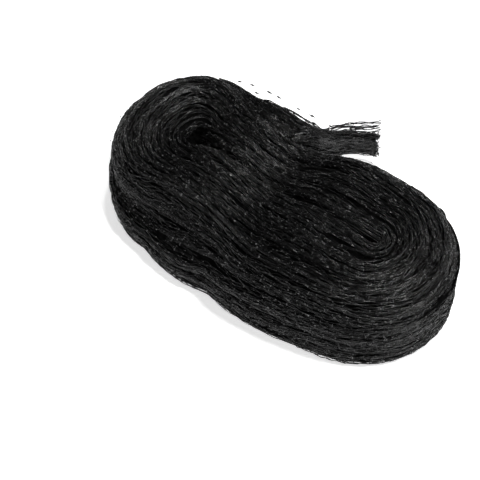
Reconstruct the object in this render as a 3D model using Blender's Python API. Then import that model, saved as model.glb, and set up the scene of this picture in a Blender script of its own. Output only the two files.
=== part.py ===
"""Bird netting as it lies when it is taken out of its packet.

One long black net is gathered into a flat bunch and wound, standing on edge, round a closed core
into a two-lobed coil. The last stretch of the bunch lies along the back of one lobe, leaves the coil
at its waist and ends in cut strands. Two solids are made: wound_net and loose_end.

Metres, +Z up. The coil's long way is X and its back is +Y. It stands on z = 0.
A place round the coil is a share of a lap: 0 at the +X end, 0.25 at the back, 0.5 at the -X end.
"""

import math

import bmesh
import bpy
import numpy as np

# Driving sizes of the wound coil.
EYE_OFFSET = 0.073  # from the coil's middle to the winding eye of each lobe
CAP_SHARE = 0.22  # share of a lap that each round end takes
LOBE_TOP = 0.056  # mean height of the two lobes
LOBE_SLOPE = 0.012  # the -X lobe is the taller one
SADDLE_DEPTH = 0.006  # dip across the waist
SADDLE_X = -0.006
SADDLE_HALF_WIDTH = 0.026
SADDLE_SLANT = 0.16  # how far the dip's line leans along X for each metre of Y
CORE_HALF_WIDTH = 0.0025  # half the width of the closed slot in the core
CORE_CREASE = 0.0018  # depth of the crease between the eyes
CREASE_HALF_WIDTH = 0.004
SHOULDER = 0.014  # round of the pack's upper edge
GROOVE_IN = 0.0025  # how far the crease above the outer band is drawn in
GROOVE_DROP = 0.001
LIP_DROP = 0.008  # height of the outer band's rounded upper edge
FOOT = 0.005  # round of the lower edge

# Each winding eye: place along X, depth, half length and half width of its hollow.
EYES = (
    (-EYE_OFFSET, 0.017, 0.0062, 0.0040),
    (EYE_OFFSET, 0.011, 0.0070, 0.0036),
)

# Relief on the coil.
TURNS = 6.0  # ridges of the bunch between the core and the outer band
RIDGE = 0.0024  # from a ridge's crest to its valley
RIDGE_MEAN = 0.75
RIDGE_SOFTNESS = 0.05
RIDGE_START = 0.006  # distance from the core where the ridges begin
RIDGE_FULL = 0.018
UNEVEN_MEAN = 0.75  # how strong a ridge is, and how much that changes
UNEVEN_SWING = 0.35
UNEVEN_WAVES = (2, 0.37)  # its waves in a lap and in a turn
EXIT_SHARE = 0.30  # where the bunch leaves the coil
LUMP = 0.0011  # height of the broad, uneven lumps
LUMP_LONG = (61, 83)  # their waves along X and Y, in radians a metre
LUMP_CROSS = (-38, 97)
PLEAT = 0.0006  # soft pleats down the outer band
PLEAT_PITCH = 0.013
PLEAT_CLIMB = 1.5  # how many pitches the pleats climb in a lap

# The coil's outline, one row for each place round it: the pack of inner turns, the outer band
# round it, and the height of the groove between them.
STATION_COLUMNS = ("share", "pack", "band", "groove")
STATIONS = (
    (0.000, 0.0530, 0.0555, 0.042),
    (0.060, 0.0520, 0.0540, 0.042),
    (0.120, 0.0565, 0.0585, 0.042),
    (0.180, 0.0575, 0.0595, 0.042),
    (0.220, 0.0550, 0.0570, 0.040),
    (0.265, 0.0475, 0.0495, 0.038),
    (0.310, 0.0445, 0.0465, 0.038),
    (0.350, 0.0490, 0.0510, 0.038),
    (0.390, 0.0540, 0.0560, 0.038),
    (0.440, 0.0705, 0.0725, 0.038),
    (0.500, 0.0672, 0.0702, 0.036),
    (0.560, 0.0648, 0.0680, 0.032),
    (0.610, 0.0595, 0.0710, 0.029),
    (0.655, 0.0590, 0.0755, 0.029),
    (0.695, 0.0590, 0.0765, 0.031),
    (0.725, 0.0615, 0.0740, 0.034),
    (0.765, 0.0655, 0.0765, 0.038),
    (0.820, 0.0670, 0.0760, 0.041),
    (0.880, 0.0645, 0.0700, 0.043),
    (0.940, 0.0585, 0.0618, 0.043),
)
OVERLAP_ROWS = 3  # rows repeated past each end of the table, to close the curve

# Fineness of the coil's mesh.
LAP_STEPS = 96
TOP_ROWS = 21
SHOULDER_ROWS = 7
LIP_ANGLES = (-40, -10, 22, 56, 90)
WALL_SHARES = (0.3, 0.65)
FOOT_ROWS = 3

# Sizes of the loose end.
SEAT_GAP = 0.0005  # between the loose end and the coil's flank
# Where the bunch lies on the flank, from its waist back to its thin start.
FLANK_COLUMNS = ("share", "thickness", "top")
FLANK = (
    (0.302, 0.0140, 0.0515),
    (0.330, 0.0125, 0.0520),
    (0.360, 0.0085, 0.0515),
    (0.395, 0.0034, 0.0500),
    (0.427, 0.0014, 0.0490),
)
# Where the bunch is free: its middle in plan, its thickness and the heights of its two edges.
FREE_COLUMNS = ("x", "y", "thickness", "low", "top")
FREE = (
    (-0.0225, 0.0560, 0.0120, 0.0005, 0.0500),
    (-0.0195, 0.0610, 0.0125, 0.0040, 0.0460),
    (-0.0160, 0.0695, 0.0118, 0.0090, 0.0390),
    (-0.0110, 0.0805, 0.0100, 0.0130, 0.0320),
    (-0.0035, 0.0890, 0.0090, 0.0115, 0.0290),
    (0.0035, 0.0955, 0.0085, 0.0085, 0.0275),
)
CROWN = ((0.25, 1.0), (0.55, 1.03), (0.85, 0.98))  # the section's top, across and up
OUTER_LEVELS = (0.88, 0.10)
OUTER_POINTS = 7
FURROW = 0.04  # depth of the furrows between the strands, as a share of the bunch's thickness
UNDERSIDE = (0.78, 0.3)
INNER_LEVELS = (0.93, 0.07)
INNER_BULGE = 0.12

# Cut strands at the end, in rows up it and columns across it.
CUT_ROWS = 5
CUT_COLUMNS = 3
CUT_COLUMN_PITCH = 0.28  # as a share of the bunch's thickness
CUT_FLARE = 0.25  # how much the outer columns splay
CUT_HALF_WIDTH = 0.0012
CUT_TIP_SHARE = 0.5  # a tip's width against its root's
CUT_ROOT = 0.004  # how far a cut strand starts inside the bunch
CUT_LOWEST = 0.6  # height of the lowest row over the low edge, in rows
CUT_MARGIN = 0.2
CUT_LEAST = 0.003
CUT_MORE = 0.004
CUT_LIFT = 0.0012
CUT_SWEEP = 0.0008
# What makes the cut strands uneven, in radians: the change a row, the change a column, the start.
LENGTH_WAVE = (3.7, 2.3, 1)
LIFT_WAVE = (2.4, 4.1, 0)
SWEEP_WAVE = (5.3, 1.7, 0)

# Long strands that stand clear above the end: place of the root along the free bunch (0 to 1) and
# across it, height of the tip and reach past the end.
LONG_COLUMNS = ("start", "side", "tip_height", "reach")
LONG_STRANDS = (
    (0.20, -0.0030, 0.0380, 0.0060),
    (0.24, 0.0030, 0.0370, 0.0075),
    (0.32, 0.0005, 0.0350, 0.0060),
    (0.40, -0.0025, 0.0325, 0.0070),
    (0.44, 0.0030, 0.0315, 0.0050),
)
LONG_HALF_WIDTH = 0.0010
LONG_STEPS = 5


def clear_scene():
    for old in list(bpy.data.objects):
        bpy.data.objects.remove(old)


def column(table, names, name):
    """One named column of a table."""
    return np.array([row[names.index(name)] for row in table])


def lap_frame(share):
    """The point of the core that each place of a lap winds round, along X, and the way out from it."""
    share = np.mod(share, 1.0)
    half = CAP_SHARE / 2
    corners = (0, half, 0.5 - half, 0.5 + half, 1 - half, 1)
    turn = np.radians(np.interp(share, corners, (0, 90, 90, 270, 270, 360)))
    core_x = EYE_OFFSET * np.interp(share, corners, (1, 1, -1, -1, 1, 1))
    return core_x, np.cos(turn), np.sin(turn)


def smooth_through(at, places, values):
    """Values at the places asked for, on a smooth curve through the given ones."""
    slopes = np.gradient(values, places)
    i = np.clip(np.searchsorted(places, at, side="right") - 1, 0, len(places) - 2)
    step = places[i + 1] - places[i]
    t = (at - places[i]) / step
    rise = values[i] * (2 * t**3 - 3 * t**2 + 1) + values[i + 1] * (3 * t**2 - 2 * t**3)
    lean = slopes[i] * (t**3 - 2 * t**2 + t) + slopes[i + 1] * (t**3 - t**2)
    return rise + step * lean


def station(share, name):
    """One column of STATIONS, smooth and closed round the lap."""
    places = column(STATIONS, STATION_COLUMNS, "share")
    values = column(STATIONS, STATION_COLUMNS, name)
    n = OVERLAP_ROWS
    places = np.concatenate([places[-n:] - 1, places, places[:n] + 1])
    values = np.concatenate([values[-n:], values, values[:n]])
    return smooth_through(np.mod(share, 1.0), places, values)


def top_height(x, y):
    """Height of the coil's top over a point in plan, without the ridges."""
    off_saddle = (x + SADDLE_SLANT * y - SADDLE_X) / SADDLE_HALF_WIDTH
    height = LOBE_TOP - LOBE_SLOPE * x - SADDLE_DEPTH * np.exp(-(off_saddle**2))
    along = np.sin(LUMP_LONG[0] * x + LUMP_LONG[1] * y)
    height = height + LUMP * along * np.cos(LUMP_CROSS[0] * x + LUMP_CROSS[1] * y)
    crease = np.exp(-((y / CREASE_HALF_WIDTH) ** 2)) * (np.abs(x) < EYE_OFFSET)
    height = height - CORE_CREASE * crease
    for eye_x, depth, half_length, half_width in EYES:
        away = ((x - eye_x) / half_length) ** 2 + (y / half_width) ** 2
        height = height - depth * np.exp(-away / 2)
    return height


def ridge(distance, pack, share):
    """Relief of the wound turns: round crests and narrow valleys, as uneven as a hand-wound bunch."""
    turn = TURNS * distance / pack + np.mod(share - EXIT_SHARE, 1.0)
    shape = np.sqrt(np.cos(math.pi * turn) ** 2 + RIDGE_SOFTNESS) - RIDGE_MEAN
    wave = UNEVEN_WAVES[0] * share + UNEVEN_WAVES[1] * turn
    uneven = UNEVEN_MEAN + UNEVEN_SWING * np.sin(2 * math.pi * wave)
    begun = np.clip((distance - RIDGE_START) / (RIDGE_FULL - RIDGE_START), 0, 1)
    return RIDGE * shape * uneven * begun


def coil_profile(share):
    """Distance from the core and height of each row of the section, from the core to the foot."""
    core_x, out_x, out_y = lap_frame(share)
    pack, band, groove = (station(share, name) for name in STATION_COLUMNS[1:])
    rim_top = top_height(core_x + out_x * pack, out_y * pack)
    rows = []
    for k in range(TOP_ROWS):
        d = CORE_HALF_WIDTH + (pack - SHOULDER - CORE_HALF_WIDTH) * k / TOP_ROWS
        rows.append((d, top_height(core_x + out_x * d, out_y * d) + ridge(d, pack, share)))
    for k in range(SHOULDER_ROWS):
        a = math.pi / 2 * k / (SHOULDER_ROWS - 1)
        d = pack - SHOULDER + SHOULDER * math.sin(a)
        level = rim_top - (rim_top - groove) * (1 - math.cos(a))
        relief = ridge(d, pack, share) * math.sqrt(max(0, math.cos(a)))
        rows.append((d + relief * math.sin(a), level + relief * math.cos(a)))
    rows.append((pack - GROOVE_IN, groove - GROOVE_DROP))
    ledge = band - pack + GROOVE_IN
    for degrees in LIP_ANGLES:
        a = math.radians(degrees)
        in_by = ledge * (1 - math.sin(a)) / (2 - math.sin(a))
        rows.append((band - in_by, groove - LIP_DROP * (1 - math.cos(a))))
    for part in WALL_SHARES:
        level = (groove - LIP_DROP) * (1 - part) + FOOT * part
        sway = level / PLEAT_PITCH + PLEAT_CLIMB * share
        sway = sway + np.sin(4 * math.pi * share) / math.pi
        rows.append((band + PLEAT * np.sin(2 * math.pi * sway), level))
    for k in range(FOOT_ROWS):
        a = math.pi / 2 * k / (FOOT_ROWS - 1)
        rows.append((band - FOOT * (1 - math.cos(a)), FOOT * (1 - math.sin(a))))
    distances = np.array([row[0] + 0 * share for row in rows])
    heights = np.array([row[1] + 0 * share for row in rows])
    return distances, heights


def coil_points(share):
    """The section's rows at each place of a lap, as points: an array of rows, places and x, y, z."""
    distance, height = coil_profile(share)
    core_x, out_x, out_y = lap_frame(share)
    return np.stack([core_x + out_x * distance, out_y * distance, height], axis=-1)


def new_object(name, maker, material):
    """One closed, smooth-shaded object from a bmesh."""
    bmesh.ops.recalc_face_normals(maker, faces=maker.faces)
    mesh = bpy.data.meshes.new(name)
    maker.to_mesh(mesh)
    maker.free()
    mesh.shade_smooth()
    mesh.set_sharp_from_angle(angle=math.radians(50))
    mesh.materials.append(material)
    made = bpy.data.objects.new(name, mesh)
    bpy.context.scene.collection.objects.link(made)
    return made


def net_material():
    """Black extruded net: slightly glossy plastic."""
    material = bpy.data.materials.new("black_net")
    material.use_nodes = True
    shader = material.node_tree.nodes["Principled BSDF"]
    shader.inputs["Base Color"].default_value = (0.012, 0.012, 0.013, 1)
    shader.inputs["Roughness"].default_value = 0.42
    shader.inputs["Metallic"].default_value = 0.0
    return material


def skin_rings(maker, rings):
    """Faces between each closed ring of vertices and the next."""
    for upper, lower in zip(rings, rings[1:]):
        for k in range(len(upper)):
            after = (k + 1) % len(upper)
            maker.faces.new((upper[k], upper[after], lower[after], lower[k]))


def close_slot(maker, slot):
    """Faces across the ring round the core, from one side of it to the other."""
    last = LAP_STEPS // 2 - 1
    maker.faces.new((slot[0], slot[LAP_STEPS - 1], slot[1]))
    for k in range(1, last):
        maker.faces.new((slot[k], slot[LAP_STEPS - k], slot[LAP_STEPS - k - 1], slot[k + 1]))
    maker.faces.new((slot[last], slot[LAP_STEPS - last], slot[last + 1]))


def make_coil(material):
    """The wound coil, closed across its core slot and flat underneath."""
    points = coil_points(np.arange(LAP_STEPS) / LAP_STEPS)
    maker = bmesh.new()
    rings = [[maker.verts.new(p) for p in row] for row in points]
    skin_rings(maker, rings)
    close_slot(maker, rings[0])
    maker.faces.new(rings[-1])
    return new_object("wound_net", maker, material)


def seat_rows():
    """The coil's rows that the loose bunch lies against: its shoulder, then its wall below the groove."""
    groove = TOP_ROWS + SHOULDER_ROWS
    foot = groove + 1 + len(LIP_ANGLES) + len(WALL_SHARES)
    return list(range(groove - 3, groove)) + list(range(groove + 1, foot + 1))


def bunch_section(inner, rim, foot, outward, thickness, low, top):
    """A closed section of the bunch: up its inner side, over the crown, down outside and back."""
    up = np.array((0, 0, top - low))
    floor = np.array((0, 0, low))
    across_top = thickness + np.dot(foot - rim, outward)
    section = list(inner)[::-1]
    for across, level in CROWN:
        section.append(rim + floor + outward * across_top * across + up * level)
    for k, level in enumerate(np.linspace(*OUTER_LEVELS, OUTER_POINTS)):
        reach = thickness * (1 - FURROW * (k % 2))
        section.append(foot + floor + outward * reach + up * level)
    for across in UNDERSIDE:
        section.append(foot + floor + outward * thickness * across)
    return section


def flank_sections():
    """Sections of the bunch where it lies against the coil, from its thin start to where it leaves."""
    places = column(FLANK, FLANK_COLUMNS, "share")
    steps = np.arange(round(places[-1] * LAP_STEPS), round(places[0] * LAP_STEPS) - 1, -1)
    shares = steps / LAP_STEPS
    thicknesses = smooth_through(shares, places, column(FLANK, FLANK_COLUMNS, "thickness"))
    tops = smooth_through(shares, places, column(FLANK, FLANK_COLUMNS, "top"))
    points = coil_points(shares)[seat_rows()]
    _, out_x, out_y = lap_frame(shares)
    sections = []
    for k in range(len(shares)):
        outward = np.array((out_x[k], out_y[k], 0))
        seat = points[:, k] * (1, 1, 0) + outward * SEAT_GAP
        inner = seat + np.outer(np.minimum(points[:, k, 2] + SEAT_GAP, tops[k]), (0, 0, 1))
        sections.append(bunch_section(inner, seat[0], seat[-1], outward, thicknesses[k], 0, tops[k]))
    return sections


def free_sections(before):
    """Sections of the bunch past the coil. The point before the first of them sets its heading."""
    middles = np.stack([column(FREE, FREE_COLUMNS, name) for name in "xy"], axis=-1)
    headings = np.gradient(np.concatenate([[before], middles]), axis=0)[1:]
    levels = np.linspace(*INNER_LEVELS, len(seat_rows()))
    insets = INNER_BULGE * (2 * levels - 1) ** 4
    sections = []
    for (x, y, thickness, low, top), heading in zip(FREE, headings):
        outward = np.array((-heading[1], heading[0], 0)) / np.linalg.norm(heading)
        side = np.array((x, y, 0)) - outward * thickness / 2
        inner = [
            side + outward * thickness * inset + np.array((0, 0, low + (top - low) * level))
            for inset, level in zip(insets, levels)
        ]
        sections.append(bunch_section(inner, side, side, outward, thickness, low, top))
    return sections


def end_frame():
    """The bunch's end: its middle in plan, the way ahead and the way across."""
    middles = np.stack([column(FREE, FREE_COLUMNS, name) for name in "xy"], axis=-1)
    heading = middles[-1] - middles[-2]
    heading = heading / np.linalg.norm(heading)
    across = (-heading[1], heading[0], 0)
    return np.array((*middles[-1], 0)), np.array((*heading, 0)), np.array(across)


def add_strand(maker, line, half_width):
    """A four-sided strand along a line of points, tapering to its cut tip."""
    rings = []
    for k, point in enumerate(line):
        ahead = line[min(k + 1, len(line) - 1)] - line[max(k - 1, 0)]
        ahead = ahead / np.linalg.norm(ahead)
        across = np.cross(ahead, (0, 0, 1.0))
        across = across / np.linalg.norm(across)
        over = np.cross(across, ahead)
        size = half_width * (1 - (1 - CUT_TIP_SHARE) * k / (len(line) - 1)) / math.sqrt(2)
        corners = (across + over, over - across, -across - over, across - over)
        rings.append([maker.verts.new(point + corner * size) for corner in corners])
    skin_rings(maker, rings)
    maker.faces.new(rings[0])
    maker.faces.new(rings[-1][::-1])


def uneven(row, place, wave):
    """A number from -1 to 1 that differs from strand to strand."""
    return math.sin(wave[0] * row + wave[1] * place + wave[2])


def add_cut_strands(maker):
    """The cut strands of the loose end, each its own closed piece."""
    end, ahead, side = end_frame()
    thickness, low, top = FREE[-1][2:]
    for row in range(CUT_ROWS):
        for place in range(CUT_COLUMNS):
            level = low + (top - low) * (row + CUT_LOWEST) / (CUT_ROWS + CUT_MARGIN)
            shift = thickness * CUT_COLUMN_PITCH * (place - (CUT_COLUMNS - 1) / 2)
            root = end + side * shift - ahead * CUT_ROOT + np.array((0, 0, level))
            lift = np.array((0, 0, CUT_LIFT * uneven(row, place, LIFT_WAVE)))
            sweep = CUT_FLARE * shift + CUT_SWEEP * uneven(row, place, SWEEP_WAVE)
            more = CUT_MORE * (1 + uneven(row, place, LENGTH_WAVE)) / 2
            length = CUT_ROOT + CUT_LEAST + more
            add_strand(maker, (root, root + ahead * length + side * sweep + lift), CUT_HALF_WIDTH)


def add_long_strands(maker):
    """The longer strands that stand clear above the cut end."""
    _, ahead, side = end_frame()
    places = np.linspace(0, 1, len(FREE))
    xs, ys, tops = (column(FREE, FREE_COLUMNS, name) for name in ("x", "y", "top"))
    for start, shift, tip_height, reach in LONG_STRANDS:
        root_height = np.interp(start, places, tops) - 2 * LONG_HALF_WIDTH
        line = []
        for part in np.linspace(0, 1, LONG_STEPS):
            at = start + (1 - start) * part
            x, y = np.interp(at, places, xs), np.interp(at, places, ys)
            level = root_height + (tip_height - root_height) * part
            line.append(np.array((x, y, level)) + side * shift)
        line.append(line[-1] + ahead * reach)
        add_strand(maker, line, LONG_HALF_WIDTH)


def make_loose_end(material):
    """The bunch that lies along the back, leaves the coil and ends in cut strands."""
    maker = bmesh.new()
    sections = flank_sections()
    last = np.array(sections[-1])[:, :2]
    sections += free_sections((last.min(axis=0) + last.max(axis=0)) / 2)
    rings = [[maker.verts.new(p) for p in section] for section in sections]
    skin_rings(maker, rings)
    maker.faces.new(rings[0])
    maker.faces.new(rings[-1][::-1])
    bunch = new_object("loose_end", maker, material)

    strand_maker = bmesh.new()
    add_cut_strands(strand_maker)
    add_long_strands(strand_maker)
    strands = new_object("strand_guide", strand_maker, material)
    strands.hide_render = True
    strands.display_type = "WIRE"
    join = bunch.modifiers.new("join_strands", "BOOLEAN")
    join.operation = "UNION"
    join.object = strands
    return bunch


def centre_on_origin(shown):
    """Hangs all objects from an empty that puts the middle of the shown ones over the origin."""
    bpy.context.view_layer.update()
    graph = bpy.context.evaluated_depsgraph_get()
    corners = np.concatenate([np.array(o.evaluated_get(graph).bound_box) for o in shown])
    middle = (corners.min(axis=0) + corners.max(axis=0)) / 2
    handle = bpy.data.objects.new("netting", None)
    bpy.context.scene.collection.objects.link(handle)
    handle.location = (-middle[0], -middle[1], 0)
    for made in bpy.data.objects:
        if made.type == "MESH":
            made.parent = handle


def main():
    clear_scene()
    material = net_material()
    coil = make_coil(material)
    loose_end = make_loose_end(material)
    centre_on_origin([coil, loose_end])


main()
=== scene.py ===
"""Bird netting wound into a flat coil: its twines, knots and loose end over the coil's inside, which is painted
near-black as shade.

Metres. The forms repeat the sizes of the solids, so every twine lies on the surface of the solid
that it stands for. Places on the coil are a share of a lap and a row of the section.
"""

import math

import bpy
import numpy as np
from mathutils import Matrix, Vector


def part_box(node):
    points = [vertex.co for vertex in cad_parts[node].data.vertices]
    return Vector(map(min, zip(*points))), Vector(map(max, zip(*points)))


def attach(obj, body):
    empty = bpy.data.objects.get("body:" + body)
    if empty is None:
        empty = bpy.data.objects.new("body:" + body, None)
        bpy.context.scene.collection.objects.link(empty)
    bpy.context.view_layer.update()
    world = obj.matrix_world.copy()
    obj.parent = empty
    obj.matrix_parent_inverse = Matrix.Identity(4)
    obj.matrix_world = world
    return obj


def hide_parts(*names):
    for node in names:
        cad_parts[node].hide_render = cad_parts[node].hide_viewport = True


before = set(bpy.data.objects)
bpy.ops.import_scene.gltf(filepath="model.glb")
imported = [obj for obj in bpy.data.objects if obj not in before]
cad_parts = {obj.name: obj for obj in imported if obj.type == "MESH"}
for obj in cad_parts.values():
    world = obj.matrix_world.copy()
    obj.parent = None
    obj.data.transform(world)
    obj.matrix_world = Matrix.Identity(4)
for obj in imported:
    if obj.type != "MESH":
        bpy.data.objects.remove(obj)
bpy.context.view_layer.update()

# ---------------------------------------------------------------- sizes of the coil, as in the solids
EYE_OFFSET = 0.073
CAP_SHARE = 0.22
LOBE_TOP = 0.056
LOBE_SLOPE = 0.012
SADDLE_DEPTH = 0.006
SADDLE_X = -0.006
SADDLE_HALF_WIDTH = 0.026
SADDLE_SLANT = 0.16
CORE_HALF_WIDTH = 0.0025
CORE_CREASE = 0.0018
CREASE_HALF_WIDTH = 0.004
SHOULDER = 0.014
GROOVE_IN = 0.0025
GROOVE_DROP = 0.001
LIP_DROP = 0.008
FOOT = 0.005
EYES = (
    (-EYE_OFFSET, 0.017, 0.0062, 0.0040),
    (EYE_OFFSET, 0.011, 0.0070, 0.0036),
)
TURNS = 6.0
RIDGE = 0.0024
RIDGE_MEAN = 0.75
RIDGE_SOFTNESS = 0.05
RIDGE_START = 0.006
RIDGE_FULL = 0.018
UNEVEN_MEAN = 0.75
UNEVEN_SWING = 0.35
UNEVEN_WAVES = (2, 0.37)
EXIT_SHARE = 0.30
LUMP = 0.0011
LUMP_LONG = (61, 83)
LUMP_CROSS = (-38, 97)
PLEAT = 0.0006
PLEAT_PITCH = 0.013
PLEAT_CLIMB = 1.5
STATION_COLUMNS = ("share", "pack", "band", "groove")
STATIONS = (
    (0.000, 0.0530, 0.0555, 0.042),
    (0.060, 0.0520, 0.0540, 0.042),
    (0.120, 0.0565, 0.0585, 0.042),
    (0.180, 0.0575, 0.0595, 0.042),
    (0.220, 0.0550, 0.0570, 0.040),
    (0.265, 0.0475, 0.0495, 0.038),
    (0.310, 0.0445, 0.0465, 0.038),
    (0.350, 0.0490, 0.0510, 0.038),
    (0.390, 0.0540, 0.0560, 0.038),
    (0.440, 0.0705, 0.0725, 0.038),
    (0.500, 0.0672, 0.0702, 0.036),
    (0.560, 0.0648, 0.0680, 0.032),
    (0.610, 0.0595, 0.0710, 0.029),
    (0.655, 0.0590, 0.0755, 0.029),
    (0.695, 0.0590, 0.0765, 0.031),
    (0.725, 0.0615, 0.0740, 0.034),
    (0.765, 0.0655, 0.0765, 0.038),
    (0.820, 0.0670, 0.0760, 0.041),
    (0.880, 0.0645, 0.0700, 0.043),
    (0.940, 0.0585, 0.0618, 0.043),
)
OVERLAP_ROWS = 3
LAP_STEPS = 96
SEAT_GAP = 0.0005
FLANK_COLUMNS = ("share", "thickness", "top")
FLANK = (
    (0.302, 0.0140, 0.0515),
    (0.330, 0.0125, 0.0520),
    (0.360, 0.0085, 0.0515),
    (0.395, 0.0034, 0.0500),
    (0.427, 0.0014, 0.0490),
)
FREE_COLUMNS = ("x", "y", "thickness", "low", "top")
FREE = (
    (-0.0225, 0.0560, 0.0120, 0.0005, 0.0500),
    (-0.0195, 0.0610, 0.0125, 0.0040, 0.0460),
    (-0.0160, 0.0695, 0.0118, 0.0090, 0.0390),
    (-0.0110, 0.0805, 0.0100, 0.0130, 0.0320),
    (-0.0035, 0.0890, 0.0090, 0.0115, 0.0290),
    (0.0035, 0.0955, 0.0085, 0.0085, 0.0275),
)
LONG_COLUMNS = ("start", "side", "tip_height", "reach")
LONG_STRANDS = (
    (0.20, -0.0030, 0.0380, 0.0060),
    (0.24, 0.0030, 0.0370, 0.0075),
    (0.32, 0.0005, 0.0350, 0.0060),
    (0.40, -0.0025, 0.0325, 0.0070),
    (0.44, 0.0030, 0.0315, 0.0050),
)

# ---------------------------------------------------------------- sizes of the looks
TWINE = 0.00030  # half the thickness of a twine
STEP = 0.0020  # between a twine's points
BAR = 0.008  # from knot to knot
BARS = 18  # bars of a drawn-out chain of mesh
KNOT = 1.6  # a knot's width against its twine's
LOCK = 0.00035  # height of the small locks that the twines lie in
CORE_INSET = 0.0034  # the inside, painted near-black as shade, lies this far under the surface
FINE_CORE = 0.0003  # the fine surface starts this near the core's middle line
PLACES = 960  # fineness of the surface that the twines follow
EVEN_STEPS = (0.7548776662, 0.5698402910)  # steps that spread points evenly over a square
# Places of the lap, and how far loose net bridges the crease there.
FILL = ((0.50, 0.56, 0.64, 0.72, 0.90, 0.97), (0, 0.25, 0.25, 1, 1, 0))
FILL_PASSES = 55
EYE_SKIRT = 0.72  # share of an eye's depth that loose net fills
# Where the twines go down in the winding eyes: x, y, half length, half width and depth.
EYE_HOLLOWS = (
    (-EYE_OFFSET - 0.0060, 0.0002, 0.0044, 0.0058, 0.013),
    (EYE_OFFSET - 0.0050, 0.0, 0.0075, 0.0036, 0.0030),
)
# Where they go down beside the outer band: share, half width in shares, row, half width in rows, depth.
SHADED_HOLLOWS = (
    (0.598, 0.060, 67.5, 4.0, 0.0030),
    (0.665, 0.040, 69.5, 2.4, 0.0022),
    (0.728, 0.045, 66.0, 6.0, 0.0016),
)


# ---------------------------------------------------------------- the coil's surface
def column(table, names, name):
    return np.array([row[names.index(name)] for row in table])


def lap_frame(share):
    share = np.mod(share, 1.0)
    half = CAP_SHARE / 2
    corners = (0, half, 0.5 - half, 0.5 + half, 1 - half, 1)
    turn = np.radians(np.interp(share, corners, (0, 90, 90, 270, 270, 360)))
    core_x = EYE_OFFSET * np.interp(share, corners, (1, 1, -1, -1, 1, 1))
    return core_x, np.cos(turn), np.sin(turn)


def smooth_through(at, places, values):
    slopes = np.gradient(values, places)
    i = np.clip(np.searchsorted(places, at, side="right") - 1, 0, len(places) - 2)
    step = places[i + 1] - places[i]
    t = (at - places[i]) / step
    rise = values[i] * (2 * t**3 - 3 * t**2 + 1) + values[i + 1] * (3 * t**2 - 2 * t**3)
    lean = slopes[i] * (t**3 - 2 * t**2 + t) + slopes[i + 1] * (t**3 - t**2)
    return rise + step * lean


def station(share, name):
    places = column(STATIONS, STATION_COLUMNS, "share")
    values = column(STATIONS, STATION_COLUMNS, name)
    n = OVERLAP_ROWS
    places = np.concatenate([places[-n:] - 1, places, places[:n] + 1])
    values = np.concatenate([values[-n:], values, values[:n]])
    return smooth_through(np.mod(share, 1.0), places, values)


def top_height(x, y):
    off_saddle = (x + SADDLE_SLANT * y - SADDLE_X) / SADDLE_HALF_WIDTH
    height = LOBE_TOP - LOBE_SLOPE * x - SADDLE_DEPTH * np.exp(-(off_saddle**2))
    along = np.sin(LUMP_LONG[0] * x + LUMP_LONG[1] * y)
    height = height + LUMP * along * np.cos(LUMP_CROSS[0] * x + LUMP_CROSS[1] * y)
    crease = np.exp(-((y / CREASE_HALF_WIDTH) ** 2)) * (np.abs(x) < EYE_OFFSET)
    height = height - CORE_CREASE * crease
    for eye_x, depth, half_length, half_width in EYES:
        away = ((x - eye_x) / half_length) ** 2 + (y / half_width) ** 2
        height = height - depth * np.exp(-away / 2)
    return height


def ridge(distance, pack, share):
    turn = TURNS * distance / pack + np.mod(share - EXIT_SHARE, 1.0)
    shape = np.sqrt(np.cos(math.pi * turn) ** 2 + RIDGE_SOFTNESS) - RIDGE_MEAN
    wave = UNEVEN_WAVES[0] * share + UNEVEN_WAVES[1] * turn
    uneven = UNEVEN_MEAN + UNEVEN_SWING * np.sin(2 * math.pi * wave)
    begun = np.clip((distance - RIDGE_START) / (RIDGE_FULL - RIDGE_START), 0, 1)
    return RIDGE * shape * uneven * begun


def coil_profile(share, core, top_rows, shoulder_rows, lip_angles, wall_shares, foot_rows):
    """Distance from the core and height of each row of the section, from the core to the foot."""
    core_x, out_x, out_y = lap_frame(share)
    pack, band, groove = (station(share, name) for name in STATION_COLUMNS[1:])
    rim_top = top_height(core_x + out_x * pack, out_y * pack)
    rows = []
    for k in range(top_rows):
        d = core + (pack - SHOULDER - core) * k / top_rows
        rows.append((d, top_height(core_x + out_x * d, out_y * d) + ridge(d, pack, share)))
    for k in range(shoulder_rows):
        a = math.pi / 2 * k / (shoulder_rows - 1)
        d = pack - SHOULDER + SHOULDER * math.sin(a)
        level = rim_top - (rim_top - groove) * (1 - math.cos(a))
        relief = ridge(d, pack, share) * math.sqrt(max(0, math.cos(a)))
        rows.append((d + relief * math.sin(a), level + relief * math.cos(a)))
    rows.append((pack - GROOVE_IN, groove - GROOVE_DROP))
    ledge = band - pack + GROOVE_IN
    for degrees in lip_angles:
        a = math.radians(degrees)
        in_by = ledge * (1 - math.sin(a)) / (2 - math.sin(a))
        rows.append((band - in_by, groove - LIP_DROP * (1 - math.cos(a))))
    for part in wall_shares:
        level = (groove - LIP_DROP) * (1 - part) + FOOT * part
        sway = level / PLEAT_PITCH + PLEAT_CLIMB * share
        sway = sway + np.sin(4 * math.pi * share) / math.pi
        rows.append((band + PLEAT * np.sin(2 * math.pi * sway), level))
    for k in range(foot_rows):
        a = math.pi / 2 * k / (foot_rows - 1)
        rows.append((band - FOOT * (1 - math.cos(a)), FOOT * (1 - math.sin(a))))
    distances = np.array([row[0] + 0 * share for row in rows])
    heights = np.array([row[1] + 0 * share for row in rows])
    return distances, heights


def coil_points(share, *fineness):
    distance, height = coil_profile(share, *fineness)
    core_x, out_x, out_y = lap_frame(share)
    return np.stack([core_x + out_x * distance, out_y * distance, height], axis=-1)


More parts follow.
